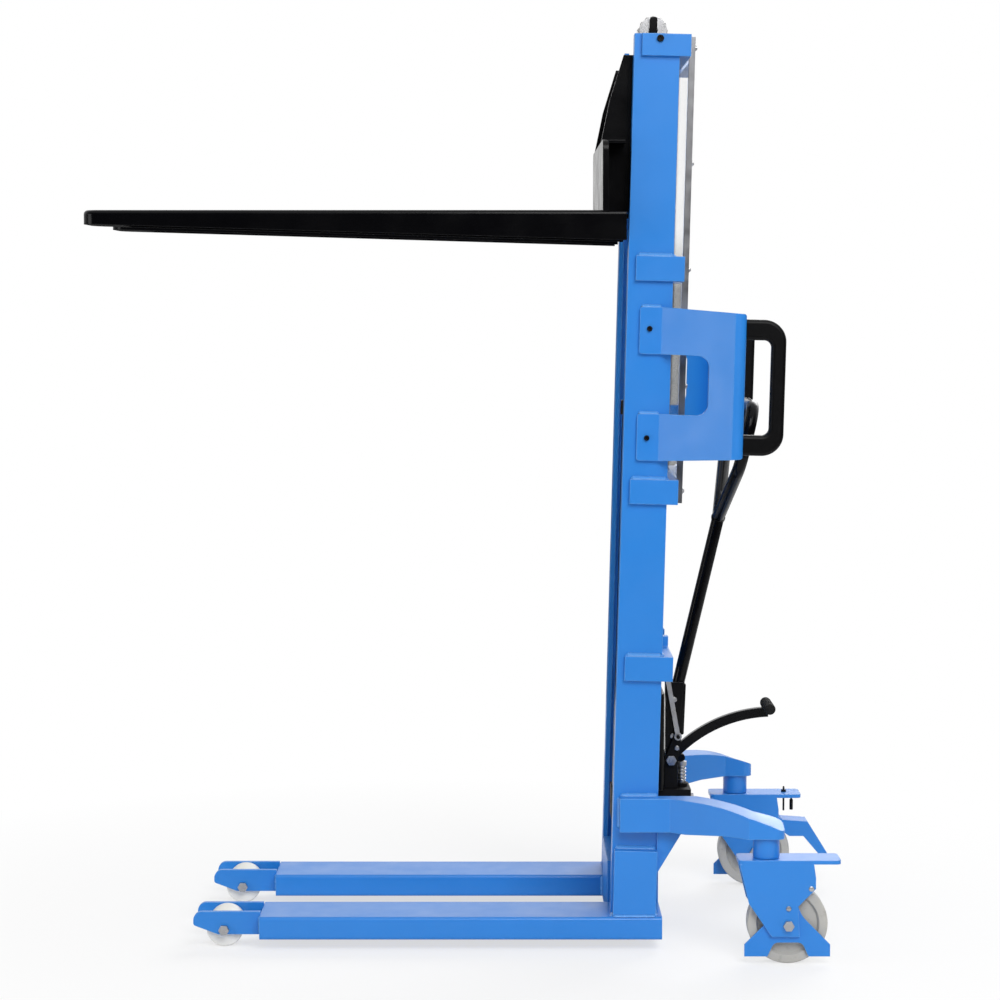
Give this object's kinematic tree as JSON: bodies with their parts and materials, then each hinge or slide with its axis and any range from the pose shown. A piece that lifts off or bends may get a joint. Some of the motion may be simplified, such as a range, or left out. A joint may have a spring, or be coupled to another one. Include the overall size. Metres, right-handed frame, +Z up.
{
  "type": "hand pallet stacker",
  "caption": "Manual hydraulic pallet stacker: straddle legs, channel mast, chain-lifted forks, hand and foot pump, clear guard, push grips and swivel casters with a toe brake.",
  "frame": {"origin": "middle of the bounding box on the floor, forks raised as in the picture", "axes": "+X towards the operator and the casters, forks towards -X, +Y the right side with the brake, +Z up"},
  "size_m": [1.5754, 0.8, 1.9043],
  "materials": {
    "blue_paint": "gloss powder coat",
    "black_paint": "satin paint",
    "wheel_nylon": "cast nylon",
    "roller_nylon": "cast nylon",
    "black_grip": "moulded",
    "pedal_rubber": "moulded",
    "rod_chrome": "ground and plated",
    "plain_steel": "zinc or oiled",
    "clear_guard": "clear sheet",
    "strip_aluminium": "mill"
  },
  "bodies": {
    "chassis": {"left_leg": "blue_paint", "right_leg": "blue_paint", "roller_cheeks": "blue_paint", "front_roller_axles": "plain_steel", "left_upright": "blue_paint", "right_upright": "blue_paint", "mast_shoes": "blue_paint", "top_cross_band": "blue_paint", "upper_cross_band": "blue_paint", "middle_cross_band": "blue_paint", "lower_cross_band": "blue_paint", "base_crossbeam": "blue_paint", "left_rear_arm": "blue_paint", "right_rear_arm": "blue_paint", "rear_gussets": "blue_paint", "swivel_posts": "blue_paint", "cylinder_barrel": "black_paint", "cylinder_gland": "black_paint", "pump_manifold": "black_paint", "oil_reservoir": "black_paint", "pump_body": "black_paint", "rocker_pin": "plain_steel", "left_handle_bracket": "blue_paint", "right_handle_bracket": "blue_paint", "left_push_grip": "black_grip", "right_push_grip": "black_grip", "guard_panel": "clear_guard", "guard_edge_strips": "strip_aluminium", "rear_chain_runs": "plain_steel", "plunger_spring": "plain_steel"},
    "lift_rod": {"piston_rod": "rod_chrome", "sheave_yoke": "black_paint", "chain_arcs": "plain_steel"},
    "sheaves": {"chain_sheaves": "plain_steel"},
    "carriage": {"carriage_plate": "black_paint", "carriage_webs": "black_paint", "carriage_crossbars": "black_paint", "left_fork": "black_paint", "right_fork": "black_paint", "front_chain_runs": "plain_steel"},
    "upper_rollers": {"upper_track_rollers": "plain_steel"},
    "lower_rollers": {"lower_track_rollers": "plain_steel"},
    "rocker": {"pump_rocker": "black_paint", "pump_handle": "black_paint", "foot_pedal": "black_paint", "pedal_pad": "pedal_rubber"},
    "plunger": {"pump_plunger": "plain_steel"},
    "release": {"release_lever": "plain_steel"},
    "left_caster": {"left_caster_fork": "blue_paint", "left_toe_guard": "blue_paint", "left_wheel_axle": "plain_steel"},
    "right_caster": {"right_caster_fork": "blue_paint", "right_toe_guard": "blue_paint", "right_wheel_axle": "plain_steel", "brake_pins": "plain_steel"},
    "left_caster_wheel": {"left_wheel": "wheel_nylon"},
    "right_caster_wheel": {"right_wheel": "wheel_nylon"},
    "brake": {"brake_pedal": "blue_paint"},
    "left_load_roller": {"left_front_roller": "roller_nylon"},
    "right_load_roller": {"right_front_roller": "roller_nylon"}
  },
  "joints": [
    {"name": "rod_slide", "type": "slide", "parent": "chassis", "child": "lift_rod", "axis": [0.0244, 0, 0.9997], "range_m": [-0.705, 0], "deforming": ["rear_chain_runs"]},
    {"name": "carriage_slide", "type": "slide", "parent": "lift_rod", "child": "carriage", "axis": [0.0244, 0, 0.9997], "range_m": [-0.705, 0], "deforming": ["front_chain_runs"]},
    {"name": "sheave_spin", "type": "hinge", "parent": "lift_rod", "child": "sheaves", "pos_m": [0.36099, 0, 1.87433], "axis": [0, 1, 0], "range_deg": [-1689, 5]},
    {"name": "upper_roller_spin", "type": "hinge", "parent": "carriage", "child": "upper_rollers", "pos_m": [0.35835, 0, 1.76636], "axis": [0, 1, 0], "range_deg": [-5, 2314]},
    {"name": "lower_roller_spin", "type": "hinge", "parent": "carriage", "child": "lower_rollers", "pos_m": [0.35291, 0, 1.54343], "axis": [0, 1, 0], "range_deg": [-2314, 5]},
    {"name": "pump_stroke", "type": "hinge", "parent": "chassis", "child": "rocker", "pos_m": [0.40767, 0, 0.351], "axis": [0, 1, 0], "range_deg": [0, 25], "stiffness_Nm_per_rad": 25, "springref_deg": -17.19},
    {"name": "plunger_slide", "type": "slide", "parent": "chassis", "child": "plunger", "axis": [0, 0, -1], "range_m": [0, 0.0104], "deforming": ["plunger_spring"]},
    {"name": "release_swing", "type": "hinge", "parent": "chassis", "child": "release", "pos_m": [0.42167, -0.036, 0.402], "axis": [0, 1, 0], "range_deg": [0, 20], "stiffness_Nm_per_rad": 0.5, "springref_deg": -11.46},
    {"name": "brake_tip", "type": "hinge", "parent": "right_caster", "child": "brake", "pos_m": [0.66467, 0.355, 0.154], "axis": [0, 1, 0], "range_deg": [0, 6]},
    {"name": "left_swivel", "type": "hinge", "parent": "chassis", "child": "left_caster", "pos_m": [0.57767, -0.355, 0.211], "axis": [0, 0, 1], "continuous": true},
    {"name": "left_wheel_spin", "type": "hinge", "parent": "left_caster", "child": "left_caster_wheel", "pos_m": [0.61967, -0.355, 0.08], "axis": [0, 1, 0], "continuous": true},
    {"name": "left_roller_spin", "type": "hinge", "parent": "chassis", "child": "left_load_roller", "pos_m": [-0.51833, -0.2, 0.0375], "axis": [0, 1, 0], "continuous": true},
    {"name": "right_swivel", "type": "hinge", "parent": "chassis", "child": "right_caster", "pos_m": [0.57767, 0.355, 0.211], "axis": [0, 0, 1], "continuous": true},
    {"name": "right_wheel_spin", "type": "hinge", "parent": "right_caster", "child": "right_caster_wheel", "pos_m": [0.61967, 0.355, 0.08], "axis": [0, 1, 0], "continuous": true},
    {"name": "right_roller_spin", "type": "hinge", "parent": "chassis", "child": "right_load_roller", "pos_m": [-0.51833, 0.2, 0.0375], "axis": [0, 1, 0], "continuous": true}
  ],
  "couplings": [
    {"joint": "carriage_slide", "follows": "rod_slide", "ratio": 1},
    {"joint": "sheave_spin", "follows": "rod_slide", "rad_per_m": 41.667},
    {"joint": "upper_roller_spin", "follows": "rod_slide", "rad_per_m": -57.143},
    {"joint": "lower_roller_spin", "follows": "rod_slide", "rad_per_m": 57.143},
    {"joint": "plunger_slide", "follows": "pump_stroke", "m_per_rad": 0.0236}
  ]
}
